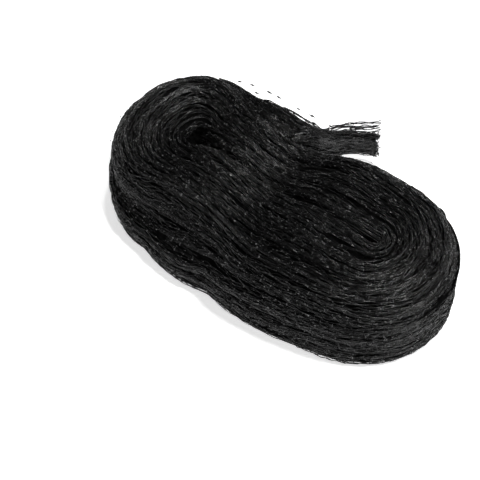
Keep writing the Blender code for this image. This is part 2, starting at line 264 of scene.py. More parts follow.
SOLID_FINENESS = (CORE_HALF_WIDTH, 21, 7, (-40, -10, 22, 56, 90), (0.3, 0.65), 3)
FINE_TOP, FINE_SHOULDER = 50, 14
FINE = (
    FINE_CORE,
    FINE_TOP,
    FINE_SHOULDER,
    tuple(np.linspace(-40, 90, 9)),
    tuple(np.linspace(0.1, 0.92, 9)),
    5,
)
FINE_GROOVE = FINE_TOP + FINE_SHOULDER
FINE_WALL = FINE_GROOVE + 1 + len(FINE[3])
FINE_FOOT = FINE_WALL + len(FINE[4])
solid_points = coil_points(np.arange(LAP_STEPS) / LAP_STEPS, *SOLID_FINENESS)
# The solids stand moved in plan, so that their box is centred. This is that move.
SHIFT = np.array(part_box("wound_net")[0]) - solid_points.reshape(-1, 3).min(axis=0)
SHIFT[2] = 0


def waves(count, along, across, seed):
    """A smooth random relief on the coil: waves in a lap, and waves a metre across it."""
    rng = np.random.default_rng(seed)
    per_lap = rng.integers(along[0], along[1] + 1, count) * rng.choice((-1, 1), count)
    per_metre = rng.uniform(*across, count)
    start = rng.uniform(0, 1, count)

    def relief(share, distance):
        total = 0 * share
        for a, b, c in zip(per_lap, per_metre, start):
            total = total + np.sin(2 * math.pi * (a * share + b * distance + c))
        return total / math.sqrt(count / 2)

    return relief


lock_waves = waves(18, (4, 26), (40, 190), 5)


def slopes(points):
    """How a surface's points change by row and by place. Places close round the lap."""
    by_row = np.gradient(points, axis=0)
    by_place = (np.roll(points, -1, axis=1) - np.roll(points, 1, axis=1)) / 2
    return by_row, by_place


def normals(points, closed=True):
    by_row = np.gradient(points, axis=0)
    if closed:
        by_place = (np.roll(points, -1, axis=1) - np.roll(points, 1, axis=1)) / 2
    else:
        by_place = np.gradient(points, axis=1)
    out = np.cross(by_row, by_place)
    return out / np.maximum(np.linalg.norm(out, axis=-1, keepdims=True), 1e-12)


def fill_corner(points, share):
    """The crease above the outer band, bridged by loose net over part of the lap."""
    low, high = FINE_GROOVE - 12, FINE_GROOVE + 9
    amount = np.interp(share, *FILL)[:, None]
    for _ in range(FILL_PASSES):
        around = (points[low - 1 : high - 1] + 2 * points[low:high] + points[low + 1 : high + 1]) / 4
        points[low:high] = points[low:high] * (1 - amount) + around * amount
    return points


def eye_fill(points):
    """How far loose net stands over the bottom of each eye."""
    total = 0
    for eye_x, depth, half_length, half_width in EYES:
        away = ((points[..., 0] - eye_x) / half_length) ** 2 + (points[..., 1] / half_width) ** 2
        total = total + EYE_SKIRT * depth * np.exp(-away / 2)
    return total


def coil_surface():
    """The coil's surface with its small locks, closed under it by rows that run back to the core."""
    share = np.arange(PLACES) / PLACES
    points = coil_points(share, *FINE)
    core_x, out_x, out_y = lap_frame(share)
    distance = (points[..., 0] - core_x) * out_x + points[..., 1] * out_y
    under = []
    for part in (0.12, 0.3, 0.5, 0.7, 0.88, 1):
        row = points[-1].copy()
        core = np.stack([core_x + out_x * FINE_CORE, out_y * FINE_CORE, 0 * share], axis=-1)
        under.append(row * (1 - part) + core * part)
    points = fill_corner(points, share)
    points[:FINE_TOP, :, 2] += eye_fill(points[:FINE_TOP])
    out = normals(points)
    if out[5, :, 2].mean() < 0:
        out = -out
    begun = np.clip(distance / 0.008, 0, 1)
    down = np.cumsum(np.linalg.norm(np.diff(points, axis=0, prepend=points[:1]), axis=-1), axis=0)
    locks = lock_waves(share[None, :] + 0 * distance, down)
    crest = np.sqrt(locks**2 + 0.15) - 0.8
    foot = np.clip(points[..., 2] / 0.006, 0, 1)
    points = points - out * (LOCK * crest * begun * foot)[..., None]
    points[..., 2] = np.maximum(points[..., 2], 0)
    return np.concatenate([points, np.array(under)], axis=0) + SHIFT


SURFACE = coil_surface()
NORMALS = normals(SURFACE)
if NORMALS[5, :, 2].mean() < 0:
    NORMALS = -NORMALS
NORMALS[FINE_FOOT + 5 :] = (0, 0, -1)
BY_ROW, BY_PLACE = slopes(SURFACE)
LENGTH_BY_ROW = np.linalg.norm(BY_ROW, axis=-1)
LENGTH_BY_SHARE = np.linalg.norm(BY_PLACE, axis=-1) * PLACES
DOWN = np.cumsum(LENGTH_BY_ROW, axis=0)  # metres from the core's line, down the surface


def at(grid, row, share):
    """A grid's values between its points. A row below zero is one across the core's line."""
    share = np.where(row < 0, 1 - share, share)
    row = np.clip(np.abs(row), 0, grid.shape[0] - 1.001)
    place = np.mod(share, 1.0) * PLACES
    i, j = np.floor(row).astype(int), np.floor(place).astype(int) % PLACES
    a, b = row - i, place - np.floor(place)
    j2 = (j + 1) % PLACES
    if grid.ndim == 3:
        a, b = a[..., None], b[..., None]
    upper = grid[i, j] * (1 - b) + grid[i, j2] * b
    lower = grid[i + 1, j] * (1 - b) + grid[i + 1, j2] * b
    return upper * (1 - a) + lower * a


# ---------------------------------------------------------------- meshes from many twines
def add_mesh(name, points, faces, smooth=True):
    """An object from arrays of points and of faces with three or four corners each."""
    mesh = bpy.data.meshes.new(name)
    points = np.asarray(points, np.float32)
    sizes = np.concatenate([np.full(len(f), f.shape[1]) for f in faces])
    corners = np.concatenate([f.reshape(-1) for f in faces]).astype(np.int32)
    mesh.vertices.add(len(points))
    mesh.vertices.foreach_set("co", points.reshape(-1))
    mesh.loops.add(len(corners))
    mesh.loops.foreach_set("vertex_index", corners)
    mesh.polygons.add(len(sizes))
    starts = np.concatenate([[0], np.cumsum(sizes)[:-1]]).astype(np.int32)
    mesh.polygons.foreach_set("loop_start", starts)
    mesh.update(calc_edges=True)
    mesh.validate()
    if smooth:
        mesh.shade_smooth()
    made = bpy.data.objects.new(name, mesh)
    bpy.context.scene.collection.objects.link(made)
    return made


def unit(v):
    return v / np.maximum(np.linalg.norm(v, axis=-1, keepdims=True), 1e-12)


def tubes(lines, outs, radii, turns, sides=3):
    """Closed tubes along lines. lines and outs are arrays of tubes, points and x, y, z.
    turns is how far each ring is turned about its line, in radians."""
    count, steps = lines.shape[:2]
    ahead = unit(np.gradient(lines, axis=1))
    across = unit(np.cross(ahead, outs))
    over = np.cross(across, ahead)
    angles = (2 * math.pi * np.arange(sides) / sides + turns[..., None])[..., None]
    ring = across[:, :, None, :] * np.cos(angles) + over[:, :, None, :] * np.sin(angles)
    points = lines[:, :, None, :] + ring * radii[:, :, None, None]
    number = np.arange(count * steps * sides).reshape(count, steps, sides)
    a, b = number[:, :-1], number[:, 1:]
    walls = np.stack([a, b, np.roll(b, -1, axis=2), np.roll(a, -1, axis=2)], axis=-1)
    faces = [walls.reshape(-1, 4)]
    faces += [number[:, 0, :].reshape(-1, sides), number[:, -1, ::-1].reshape(-1, sides)]
    return points.reshape(-1, 3), faces


def beads(centres, aheads, outs, half_width, longer=1.6):
    """Small eight-sided knots, longer along their twine."""
    across = unit(np.cross(aheads, outs))
    over = np.cross(across, aheads)
    size = np.asarray(half_width)[:, None]
    points = np.stack(
        [
            centres + aheads * size * longer,
            centres - aheads * size * longer,
            centres + across * size,
            centres - across * size,
            centres + over * size,
            centres - over * size,
        ],
        axis=1,
    )
    number = np.arange(len(centres) * 6).reshape(-1, 6)
    corners = (
        (0, 2, 4), (2, 1, 4), (1, 3, 4), (3, 0, 4), (2, 0, 5), (1, 2, 5), (3, 1, 5), (0, 3, 5),
    )
    faces = np.concatenate([number[:, list(c)] for c in corners])
    return points.reshape(-1, 3), [faces]


def join_parts(parts):
    """One set of points and faces from several."""
    points, faces, before = [], [], 0
    for p, f in parts:
        points.append(p)
        faces += [x + before for x in f]
        before += len(p)
    return np.concatenate(points), faces


# ---------------------------------------------------------------- twines on the coil
def flow(seed, size):
    """How far the twines lean from the winding, the same for all that lie side by side."""
    lean = waves(10, (2, 14), (15, 70), seed)
    return size * lean(np.arange(PLACES)[None, :] / PLACES + 0 * DOWN, DOWN)


def twists(count, steps, rng):
    """How far each ring of a twine is turned, so that its sides catch the light here and there."""
    change = rng.normal(0, 0.55, (count, steps)) + rng.normal(0, 0.2, (count, 1))
    return rng.uniform(0, 2 * math.pi, (count, 1)) + np.cumsum(change, axis=1)


def trace(row, share, steps, lean, field, rng):
    """Lines that follow the winding from each start, leaning with their field and wandering a little."""
    rows, shares = [row], [share]
    drift = rng.normal(0, 0.02, len(row))
    for _ in range(steps - 1):
        drift = 0.90 * drift + rng.normal(0, 0.010, len(row))
        angle = lean + drift + at(field, row, share)
        by_share = np.maximum(at(LENGTH_BY_SHARE, row, share), 0.02)
        by_row = np.maximum(at(LENGTH_BY_ROW, row, share), 2e-4)
        share = share + STEP * np.cos(angle) / by_share
        row = row + STEP * np.sin(angle) / by_row
        rows.append(row)
        shares.append(share)
    return np.stack(rows, axis=1), np.stack(shares, axis=1)


def sink_at(points, rows, shares, rise):
    """How far the upper twines go down, so that the eyes and the shaded hollows stay open and dark, showing the
    inside's painted shade.
    """
    total = 0
    for x, y, half_length, half_width, depth in EYE_HOLLOWS:
        away = ((points[..., 0] - x - SHIFT[0]) / half_length) ** 2
        away = away + ((points[..., 1] - y - SHIFT[1]) / half_width) ** 2
        total = total + depth * np.exp(-away / 1.3)
    for share, half_share, row, half_rows, depth in SHADED_HOLLOWS:
        away = ((np.mod(shares, 1.0) - share) / half_share) ** 2 + ((rows - row) / half_rows) ** 2
        total = total + depth * np.exp(-(away**2)) * (1 - min(1, max(0, -rise) / CORE_INSET))
    return total


def net_chains(name, count, row_range, spread, depth, seed, rise, twine, knots_into, bars=BARS, lean=0.03, field=0.07):
    """Pairs of twines that part and meet again at knots, as a net's meshes do when they are drawn out."""
    rng = np.random.default_rng(seed)
    per_bar = round(BAR / STEP)
    steps = bars * per_bar + 1
    row, share = scatter(count, row_range, rng)
    back = steps * STEP / 2 / np.maximum(at(LENGTH_BY_SHARE, row, share), 0.05)
    rows, shares = trace(row, share - back, steps, rng.normal(0, lean, count), flow(seed + 100, field), rng)
    t = np.arange(steps) / per_bar
    phase = rng.uniform(0, 1, (count, 1))
    part = np.abs(np.mod(t[None, :] + phase * 2, 2) - 1)
    width = rng.gamma(2.5, spread / 2.5, (count, 1))
    sway = rng.normal(0, 0.0004, (count, steps, 2))
    for _ in range(2):
        sway[:, 1:-1] = (sway[:, :-2] + 2 * sway[:, 1:-1] + sway[:, 2:]) / 4
    ends = np.minimum(np.arange(steps), np.arange(steps)[::-1]) * STEP
    dive = 0.0020 * np.clip(1 - ends / 0.010, 0, 1) ** 1.5
    level = rise - depth * rng.uniform(0, 1, (count, 1)) - dive
    wave_length = rng.uniform(0.007, 0.022, (count, 2))
    wave_start = rng.uniform(0, 1, (count, 2))
    wave_size = rng.uniform(0.00010, 0.00045, (count, 2))
    arc = np.arange(steps)[None, :] * STEP
    by_row = np.maximum(at(LENGTH_BY_ROW, rows, shares), 2e-4)
    lines, outs = [], []
    clear = twine * (1.4 if knots_into is None else 1.3 * KNOT)  # the floor's least distance
    for k, side in enumerate((-0.5, 0.5)):
        places = rows + (side * width * part + sway[..., k]) / by_row
        p, n = at(SURFACE, places, shares), unit(at(NORMALS, places, shares))
        sink = sink_at(p, places, shares, rise)
        wave = np.sin(2 * math.pi * (arc / wave_length[:, [k]] + wave_start[:, [k]]))
        line = p + n * (level - sink + wave_size[:, [k]] * wave)[..., None]
        line[..., 2] = np.maximum(line[..., 2], clear)
        lines.append(line)
        outs.append(n)
    lines, outs = np.concatenate(lines), np.concatenate(outs)
    radii = twine * rng.uniform(0.75, 1.2, (2 * count, 1)) * rng.uniform(0.85, 1.1, (2 * count, steps))
    radii[:, [0, -1]] *= 0.5
    parts = [tubes(lines, outs, radii, twists(2 * count, steps, rng))]
    if knots_into is None:
        return add_mesh(name, *join_parts(parts))
    knots = np.arange(per_bar // 2, steps - 2, per_bar)
    centre = lines[:, knots].reshape(-1, 3)
    ahead = unit(np.gradient(lines, axis=1))[:, knots].reshape(-1, 3)
    out = outs[:, knots].reshape(-1, 3)
    size = twine * KNOT * rng.uniform(0.7, 1.25, len(centre))
    knots_into.append(beads(centre, ahead, out, size))
    return add_mesh(name, *join_parts(parts))


def scatter(count, row_range, rng):
    """Starts spread evenly over the surface between two rows."""
    low, high = int(row_range[0]), int(row_range[1])
    area = (LENGTH_BY_ROW * LENGTH_BY_SHARE)[low:high]
    first = np.mod(rng.uniform() + np.arange(count) * EVEN_STEPS[0], 1.0)
    second = np.mod(rng.uniform() + np.arange(count) * EVEN_STEPS[1], 1.0)
    below = np.cumsum(area.sum(axis=1)) / area.sum()
    row = np.interp(first, np.concatenate([[0], below]), np.arange(len(below) + 1.0))
    by_place = np.cumsum(area, axis=1)[np.minimum(row.astype(int), high - low - 1)]
    share = (by_place < by_place[:, -1:] * second[:, None]).sum(axis=1) / PLACES
    return low + row, share


# ---------------------------------------------------------------- the loose end's surface
def seat_points(share):
    """The shoulder's and wall's rows that the loose bunch lies against."""
    points = coil_points(share, *SOLID_FINENESS)
    groove = SOLID_FINENESS[1] + SOLID_FINENESS[2]
    last = groove + 1 + len(SOLID_FINENESS[3]) + len(SOLID_FINENESS[4])
    return points[list(range(groove - 3, groove)) + list(range(groove + 1, last + 1))]


CROWN = ((0.25, 1.0), (0.55, 1.03), (0.85, 0.98))


def bunch_section(inner, rim, foot, outward, thickness, low, top):
    up = np.array((0, 0, top - low))
    floor = np.array((0, 0, low))
    across_top = thickness + np.dot(foot - rim, outward)
    section = list(inner)[::-1]
    for across, level in CROWN:
        section.append(rim + floor + outward * across_top * across + up * level)
    for level in np.linspace(0.88, 0.10, 7):
        section.append(foot + floor + outward * thickness + up * level)
    for across in (0.78, 0.3):
        section.append(foot + floor + outward * thickness * across)
    return np.array(section)


def loose_sections():
    """The loose end's sections, from its thin start on the flank to its cut end."""
    places = column(FLANK, FLANK_COLUMNS, "share")
    steps = np.arange(round(places[-1] * LAP_STEPS), round(places[0] * LAP_STEPS) - 1, -1)
    shares = steps / LAP_STEPS
    thick = smooth_through(shares, places, column(FLANK, FLANK_COLUMNS, "thickness"))
    tops = smooth_through(shares, places, column(FLANK, FLANK_COLUMNS, "top"))
    points = seat_points(shares)
    _, out_x, out_y = lap_frame(shares)
    sections = []
    for k in range(len(shares)):
        outward = np.array((out_x[k], out_y[k], 0))
        seat = points[:, k] * (1, 1, 0) + outward * SEAT_GAP
        inner = seat + np.outer(np.minimum(points[:, k, 2] + SEAT_GAP, tops[k]), (0, 0, 1))
        sections.append(bunch_section(inner, seat[0], seat[-1], outward, thick[k], 0, tops[k]))
    last = sections[-1][:, :2]
    before = (last.min(axis=0) + last.max(axis=0)) / 2
    middles = np.stack([column(FREE, FREE_COLUMNS, name) for name in "xy"], axis=-1)
    headings = np.gradient(np.concatenate([[before], middles]), axis=0)[1:]
    levels = np.linspace(0.93, 0.07, points.shape[0])
    insets = 0.12 * (2 * levels - 1) ** 4
    for (x, y, thickness, low, top), heading in zip(FREE, headings):
        outward = np.array((-heading[1], heading[0], 0)) / np.linalg.norm(heading)
        side = np.array((x, y, 0)) - outward * thickness / 2
        inner = [
            side + outward * thickness * inset + np.array((0, 0, low + (top - low) * level))
            for inset, level in zip(insets, levels)
        ]
        sections.append(bunch_section(inner, side, side, outward, thickness, low, top))
    return np.array(sections) + SHIFT


SECTIONS = loose_sections()
SECTION_AT = np.concatenate(
    [[0], np.cumsum(np.linalg.norm(np.diff(SECTIONS.mean(axis=1), axis=0), axis=1))]
)
TAIL_LENGTH = SECTION_AT[-1]
CROWN_AT = SECTIONS.shape[1] - 12  # the first of a section's three crown points
FREE_FROM = len(SECTIONS) - len(FREE)  # the first section past the coil
START_TAPER = 0.045  # the loose end grows to its full height over this length from its start
START_DROP = 0.004  # how far its upper edge goes down to its start


def start_taper(along):
    return np.clip(0.06 + np.asarray(along) / START_TAPER, 0, 1) ** 0.7


def tail_at(along, around, inset=0.0):
    """Points of the loose end: metres along it, share of the way round its section, and how deep."""
    count = SECTIONS.shape[1]
    a = np.clip(np.interp(along, SECTION_AT, np.arange(len(SECTION_AT))), 0, len(SECTION_AT) - 1.0001)
    i = np.floor(a).astype(int)
    f = (a - i)[..., None]
    j = np.mod(around, 1.0) * count
    k = np.floor(j).astype(int) % count
    g = (j - np.floor(j))[..., None]
    k2 = (k + 1) % count
    p = (SECTIONS[i, k] * (1 - g) + SECTIONS[i, k2] * g) * (1 - f) + (
        SECTIONS[i + 1, k] * (1 - g) + SECTIONS[i + 1, k2] * g
    ) * f
    middles = SECTIONS.mean(axis=1)
    middle = middles[i] * (1 - f) + middles[i + 1] * f
    out = unit(p - middle)
    reach = np.linalg.norm(p - middle, axis=-1, keepdims=True)
    p = middle + (p - middle) * (1 - np.minimum(np.asarray(inset)[..., None], 0.97 * reach) / reach)
    tops = SECTIONS[:, :, 2].max(axis=1)
    top = tops[i] * (1 - f[..., 0]) + tops[i + 1] * f[..., 0]
    taper = start_taper(along)
    p[..., 2] = top - (top - p[..., 2]) * taper - START_DROP * (1 - taper)
    return p, out


# ---------------------------------------------------------------- materials
def net_material(name, dark, light, rough, gloss_level, scale, bump):
    """Black plastic twine: its tone and its gloss change a little from place to place."""
    material = bpy.data.materials.new(name)
    material.use_nodes = True
    nodes, links = material.node_tree.nodes, material.node_tree.links
    shader = nodes["Principled BSDF"]
    shader.inputs["Specular IOR Level"].default_value = gloss_level
    place = nodes.new("ShaderNodeTexCoord")
    patches = nodes.new("ShaderNodeTexNoise")
    patches.inputs["Scale"].default_value = scale
    patches.inputs["Detail"].default_value = 2
    links.new(place.outputs["Object"], patches.inputs["Vector"])
    tone = nodes.new("ShaderNodeValToRGB")
    tone.color_ramp.elements[0].position = 0.45
    tone.color_ramp.elements[0].color = (*dark, 1)
    tone.color_ramp.elements[1].position = 0.62
    tone.color_ramp.elements[1].color = (*light, 1)
    links.new(patches.outputs["Fac"], tone.inputs["Fac"])
    links.new(tone.outputs["Color"], shader.inputs["Base Color"])
    fine = nodes.new("ShaderNodeTexNoise")
    fine.inputs["Scale"].default_value = scale * 3
    fine.inputs["Detail"].default_value = 4
    links.new(place.outputs["Object"], fine.inputs["Vector"])
    gloss = nodes.new("ShaderNodeMapRange")
    gloss.inputs["From Min"].default_value = 0.3
    gloss.inputs["From Max"].default_value = 0.7
    gloss.inputs["To Min"].default_value = rough[0]
    gloss.inputs["To Max"].default_value = rough[1]
    links.new(fine.outputs["Fac"], gloss.inputs["Value"])
    links.new(gloss.outputs["Result"], shader.inputs["Roughness"])
    relief = nodes.new("ShaderNodeBump")
    relief.inputs["Strength"].default_value = bump
    relief.inputs["Distance"].default_value = 0.0004
    links.new(fine.outputs["Fac"], relief.inputs["Height"])
    links.new(relief.outputs["Normal"], shader.inputs["Normal"])
    return material


twine_material = net_material("net_twine", (0.0010, 0.0010, 0.0011), (0.015, 0.015, 0.0153), (0.13, 0.27), 0.70, 560, 0.2)
# Painted highlight: the knots are much lighter grey than the twine, to stand in for the glints they catch.
knot_glint_material = net_material("net_knot", (0.014, 0.014, 0.0142), (0.19, 0.19, 0.191), (0.13, 0.25), 0.9, 300, 0.2)
# Painted shade: a darker, duller copy of the twine for the layers that lie deep or under the coil, where shade falls.
deep_shade_material = net_material("net_deep_painted_shade", (0.0012, 0.0012, 0.0012), (0.011, 0.011, 0.0111), (0.26, 0.45), 0.42, 500, 0.2)
# Painted shade: the near-black inside of the coil and of the loose end stands in for the shade between and under the
# twines.
inside_shade_material = net_material("net_inside_painted_shade", (0.0005, 0.0005, 0.0005), (0.003, 0.003, 0.003), (0.65, 0.85), 0.05, 260, 0.9)


def finish_piece(piece, material, *nodes):
    piece.data.materials.append(material)
    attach(piece, "root")
    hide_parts(*nodes)
    return piece


# ---------------------------------------------------------------- pieces of the coil
def coil_core():
    """The inside that shows between the twines, painted near-black as the shade there: the coil's form, a little
    smaller.
    """
    keep = 3
    inset = CORE_INSET * np.clip(SURFACE[..., 2:] / 0.016, 0.4, 1)
    points = SURFACE - NORMALS * inset
    points[:FINE_TOP, :, 2] -= eye_fill(SURFACE[:FINE_TOP] - SHIFT)
    points = points[:, ::keep]
    points[..., 2] = np.maximum(points[..., 2], 0.0)
    points[FINE_FOOT + 4 :, :, 2] = 0.0002
    points[0, :, 1] = points[-1, :, 1] = SHIFT[1]
    rows, places = points.shape[:2]
    number = np.arange(rows * places).reshape(rows, places)
    a, b = number[:-1], number[1:]
    faces = np.stack([a, np.roll(a, -1, axis=1), np.roll(b, -1, axis=1), b], axis=-1).reshape(-1, 4)
    return add_mesh("net_core", points.reshape(-1, 3), [faces])


core = finish_piece(coil_core(), inside_shade_material, "wound_net")

TOP = (0, FINE_GROOVE)
WALL = (FINE_GROOVE - 1, FINE_FOOT + 3)
UNDER = (FINE_FOOT + 3, SURFACE.shape[0] - 1)
GROOVE = (FINE_GROOVE - 8, FINE_GROOVE + 12)
# Each layer of the net: name, chains, rows, twine, mesh width, spread in depth, seed, depth, material. The deep
# material is painted shade on the lower layers and under the coil.
LAYERS = (
    ("net_top_deep", 50, TOP, 0.00046, 0.0028, 0.0008, 11, -0.0020, deep_shade_material),
    ("net_top_low", 85, TOP, 0.00038, 0.0024, 0.0008, 12, -0.0012, deep_shade_material),
    ("net_top_middle", 110, TOP, 0.00028, 0.0018, 0.0008, 13, -0.0006, twine_material),
    ("net_top_upper", 115, TOP, 0.00026, 0.0018, 0.0008, 14, 0.0001, twine_material),
    ("net_wall_deep", 60, WALL, 0.00046, 0.0028, 0.0008, 15, -0.0018, deep_shade_material),
    ("net_wall_middle", 100, WALL, 0.00029, 0.0018, 0.0008, 16, -0.0008, twine_material),
    ("net_wall_upper", 105, WALL, 0.00026, 0.0018, 0.0008, 17, 0.0001, twine_material),
    ("net_groove", 42, GROOVE, 0.00028, 0.0020, 0.0010, 19, -0.0002, twine_material),
    ("net_under", 38, UNDER, 0.00036, 0.0050, 0.0003, 18, 0.0, deep_shade_material),
)
coil_knots = []
for name, chains, rows, twine, width, spread, seed, rise, material in LAYERS:
    into = coil_knots if material is twine_material else None
    layer = net_chains(name, chains, rows, width, spread, seed, rise, twine, into)
    finish_piece(layer, material, "wound_net")
finish_piece(add_mesh("net_knots", *join_parts(coil_knots), smooth=False), knot_glint_material, "wound_net")


# ---------------------------------------------------------------- pieces of the loose end
def tail_core():
    """The inside of the loose end, painted near-black as shade: the net itself in back-and-forth folds, standing on
    edge.
    """
    folds = 7
    steps, levels = 60, 14
    along = np.linspace(0.0, TAIL_LENGTH - 0.0015, steps)
    lines = []
    for fold in range(folds):
        share = (fold + 0.5) / folds
        for level in np.linspace(0.06, 0.94, levels)[:: 1 if fold % 2 == 0 else -1]:
            lines.append((share, level))
    grid = []
    inner_side, _ = tail_at(along[:, None] + 0 * np.linspace(0, 1, 40), np.linspace(0, 1, 40)[None, :] + 0 * along[:, None])
    for n, s in enumerate(along):
        ring = SECTIONS_at(s)
        middle = ring.mean(axis=0)
        low, top = ring[:, 2].min() + 0.0012, ring[:, 2].max() - 0.0016
        low = top - (top - low) * start_taper(s)
        low, top = (level - START_DROP * (1 - start_taper(s)) for level in (low, top))
        row = []
        for share, level in lines:
            z = low + (top - low) * level
            inner, outer = ring_span(ring, z)
            row.append((inner * (1 - share) + outer * share)[:3])
        grid.append(row)
    grid = np.array(grid)
    rows, places = grid.shape[:2]
    number = np.arange(rows * places).reshape(rows, places)
    a, b = number[:-1], number[1:]
    faces = np.stack([a[:, :-1], a[:, 1:], b[:, 1:], b[:, :-1]], axis=-1).reshape(-1, 4)
    return add_mesh("net_end_folds", grid.reshape(-1, 3), [faces]), grid


def SECTIONS_at(s):
    a = np.interp(s, SECTION_AT, np.arange(len(SECTION_AT)))
    i = min(int(a), len(SECTION_AT) - 2)
    f = a - i
    return SECTIONS[i] * (1 - f) + SECTIONS[i + 1] * f


def ring_span(ring, z):
    """The two places where a section's ring crosses a height, a little inside it."""
    hits = []
    n = len(ring)
    for k in range(n):
        p, q = ring[k], ring[(k + 1) % n]
        if (p[2] - z) * (q[2] - z) <= 0 and abs(p[2] - q[2]) > 1e-9:
            f = (z - p[2]) / (q[2] - p[2])
            hits.append((k, p * (1 - f) + q * f))
    first, last = hits[0][1], hits[-1][1]
    for k, hit in hits:
        if np.linalg.norm(hit - first) > np.linalg.norm(last - first):
            last = hit
    if hits[0][0] > n / 2:
        first, last = last, first
    gap = last - first
    shrink = min(0.45, 0.0011 / max(np.linalg.norm(gap), 1e-6))
    return first + gap * shrink, last - gap * shrink


folds_piece, folds_grid = tail_core()
finish_piece(folds_piece, inside_shade_material, "loose_end")


def tail_strands(name, layers, seed, tufted):
    """The twines of the loose end: over its skin, and through its cut end and past it."""
    rng = np.random.default_rng(seed)
    step = STEP
    parts = []
    ahead_end = unit(SECTIONS[-1].mean(axis=0) - SECTIONS[-2].mean(axis=0))
    for count, depth, rise, crowned, inward in layers:
        steps = 42
        begin = TAIL_LENGTH * (rng.uniform(0, 1, count) * 1.05 - 0.14)
        begin = np.where(begin < 0, 0, np.minimum(begin, TAIL_LENGTH - 0.012))
        hidden = CROWN_AT
        around = (hidden + 0.3 + rng.uniform(0, 1, count) * (SECTIONS.shape[1] - hidden - 1.3)) / SECTIONS.shape[1]
        free = (begin > SECTION_AT[-len(FREE)] - 0.030) & (rng.uniform(0, 1, count) < 0.4)
        around = np.where(free, rng.uniform(0, 1, count), around)
        crown = (hidden - 0.6 + rng.uniform(0, 1, count) * 3.6) / SECTIONS.shape[1]
        around = np.where(rng.uniform(0, 1, count) < crowned, crown, around)
        inner = rng.uniform(0, 1, count) < inward
        around = np.where(inner, rng.uniform(0, hidden / SECTIONS.shape[1], count), around)
        first = rng.uniform(SECTION_AT[FREE_FROM] - 0.012, TAIL_LENGTH - 0.012, count)
        begin = np.where(inner, first, begin)
        twist = rng.normal(0, 0.09, count)
        t = np.arange(steps) * step
        s = begin[:, None] + t[None, :]
        zig = 0.0022 * np.abs(np.mod(t[None, :] / BAR + rng.uniform(0, 2, (count, 1)), 2) - 1)
        zig = zig * rng.choice((-1, 1), (count, 1))
        turn = around[:, None] + (twist[:, None] * t[None, :] + zig) / 0.09
        wave = np.sin(t[None, :] * rng.uniform(250, 700, (count, 1)) + rng.uniform(0, 6, (count, 1)))
        inset = rise + depth * rng.uniform(0, 1, (count, 1)) + 0.0004 * wave
        inset = inset + 0.0022 * np.clip(1 - t[None, :] / 0.012, 0, 1)
        p, out = tail_at(np.clip(s, 0, TAIL_LENGTH), turn, inset)
        reach = rng.uniform(0.0, 0.0055, (count, 1)) + 0.0006
        over = np.minimum(np.maximum(s - TAIL_LENGTH, 0), reach)
        p = p + over[..., None] * (ahead_end + rng.normal(0, 0.16, (count, 1, 3)))
        p[..., 2] = np.maximum(p[..., 2], TWINE * 1.3 * KNOT)
        r = TWINE * rng.uniform(0.75, 1.15, (count, 1)) * rng.uniform(0.85, 1.1, (count, steps))
        parts.append(tubes(p, out, r, twists(count, steps, rng)))
        if tufted:
            continue
        knots = np.arange(2, steps - 2, 5)
        c = p[:, knots].reshape(-1, 3)
        a = unit(np.gradient(p, axis=1))[:, knots].reshape(-1, 3)
        keep = (rng.uniform(0, 1, len(c)) < 0.8) & (np.abs(a).sum(axis=1) > 0.1)
        size = TWINE * KNOT * rng.uniform(0.75, 1.1, keep.sum())
        end_knots.append(beads(c[keep], a[keep], out[:, knots].reshape(-1, 3)[keep], size))
    if not tufted:
        return add_mesh(name, *join_parts(parts))
    # through the cut end: tufts of twines that stand past it
    tufts, each, steps = 17, 9, 12
    tuft_around = np.mod((np.arange(tufts) + rng.uniform(0, 0.6, tufts)) / tufts, 1.0)
    tuft_deep = rng.uniform(0.0008, 0.0040, tufts)
    tuft_reach = rng.uniform(0.0012, 0.0052, tufts)
    tuft_lean = rng.normal(0, 0.13, (tufts, 3))
    around = np.repeat(tuft_around, each) + rng.normal(0, 0.006, tufts * each)
    deep = np.abs(np.repeat(tuft_deep, each) + rng.normal(0, 0.0004, tufts * each)) + 0.0003
    reach = np.repeat(tuft_reach, each) * rng.uniform(0.75, 1.08, tufts * each)
    lean = np.repeat(tuft_lean, each, axis=0) + rng.normal(0, 0.05, (tufts * each, 3))
    t = np.arange(steps) / (steps - 1)
    s = TAIL_LENGTH - 0.014 + (0.014 + reach)[:, None] * t[None, :]
    p, out = tail_at(np.minimum(s, TAIL_LENGTH), around[:, None] + 0 * s, deep[:, None] + 0 * s)
    over = np.maximum(s - TAIL_LENGTH, 0)
    p = p + over[..., None] * (ahead_end + lean[:, None, :])
    r = TWINE * 1.3 * rng.uniform(0.8, 1.2, (tufts * each, 1)) + 0 * s
    parts.append(tubes(p, out, r, twists(tufts * each, steps, rng)))
    return add_mesh(name, *join_parts(parts))


end_knots = []
# The loose end's layers: count, spread in depth, depth, and the shares of them kept to its upper edge
# and to the inner side of its free part.
END_UPPER = ((110, 0.0012, 0.0001, 0.1, 0), (50, 0.0012, 0.0001, 1, 0), (66, 0.0018, 0.0001, 0, 1))
END_LOWER = ((90, 0.0008, 0.0009, 0.3, 0), (40, 0.0008, 0.0015, 0.3, 0.5))
BRIDGE_ROW = 48.0  # the coil's row that the twines running into the loose end come from
BRIDGE_TWINES = 130


